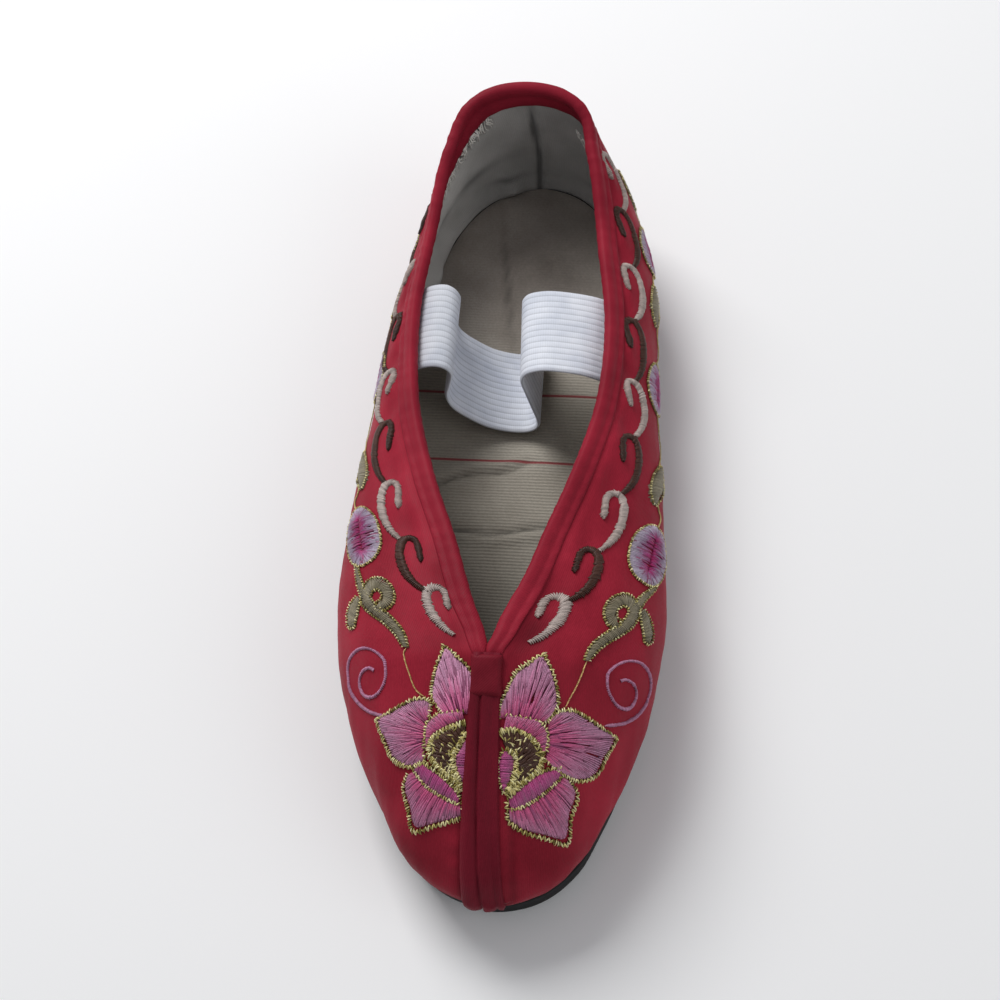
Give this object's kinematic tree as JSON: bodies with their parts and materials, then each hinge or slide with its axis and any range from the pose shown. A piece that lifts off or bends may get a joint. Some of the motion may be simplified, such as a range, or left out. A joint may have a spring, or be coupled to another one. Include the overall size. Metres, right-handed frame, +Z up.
{
  "type": "chinese embroidered shoe",
  "caption": "Low slip-on cloth shoe with a V throat: red satin upper with lotus embroidery, satin binding, ribbed toe strip and slack white elastic on a flat black sole.",
  "frame": {"origin": "middle of the shoe's box on the floor that it stands on", "axes": "+Z up, +Y from toe to heel along the shoe, +X across it to the wearer's left as the toe points along -Y"},
  "size_m": [0.089, 0.2412, 0.0576],
  "materials": {
    "black_rubber": "matt moulded rubber",
    "red_satin": "red satin with a soft sheen, embroidered in silk thread",
    "beige_cotton": "ribbed unbleached cotton, soiled at the heel",
    "white_elastic": "white ribbed elastic webbing"
  },
  "bodies": {
    "root": {"outsole": "black_rubber", "upper": "red_satin", "insole": "beige_cotton", "collar_binding": "red_satin", "toe_strip": "red_satin", "throat_tab": "red_satin", "elastic_strap": "white_elastic"}
  },
  "joints": []
}
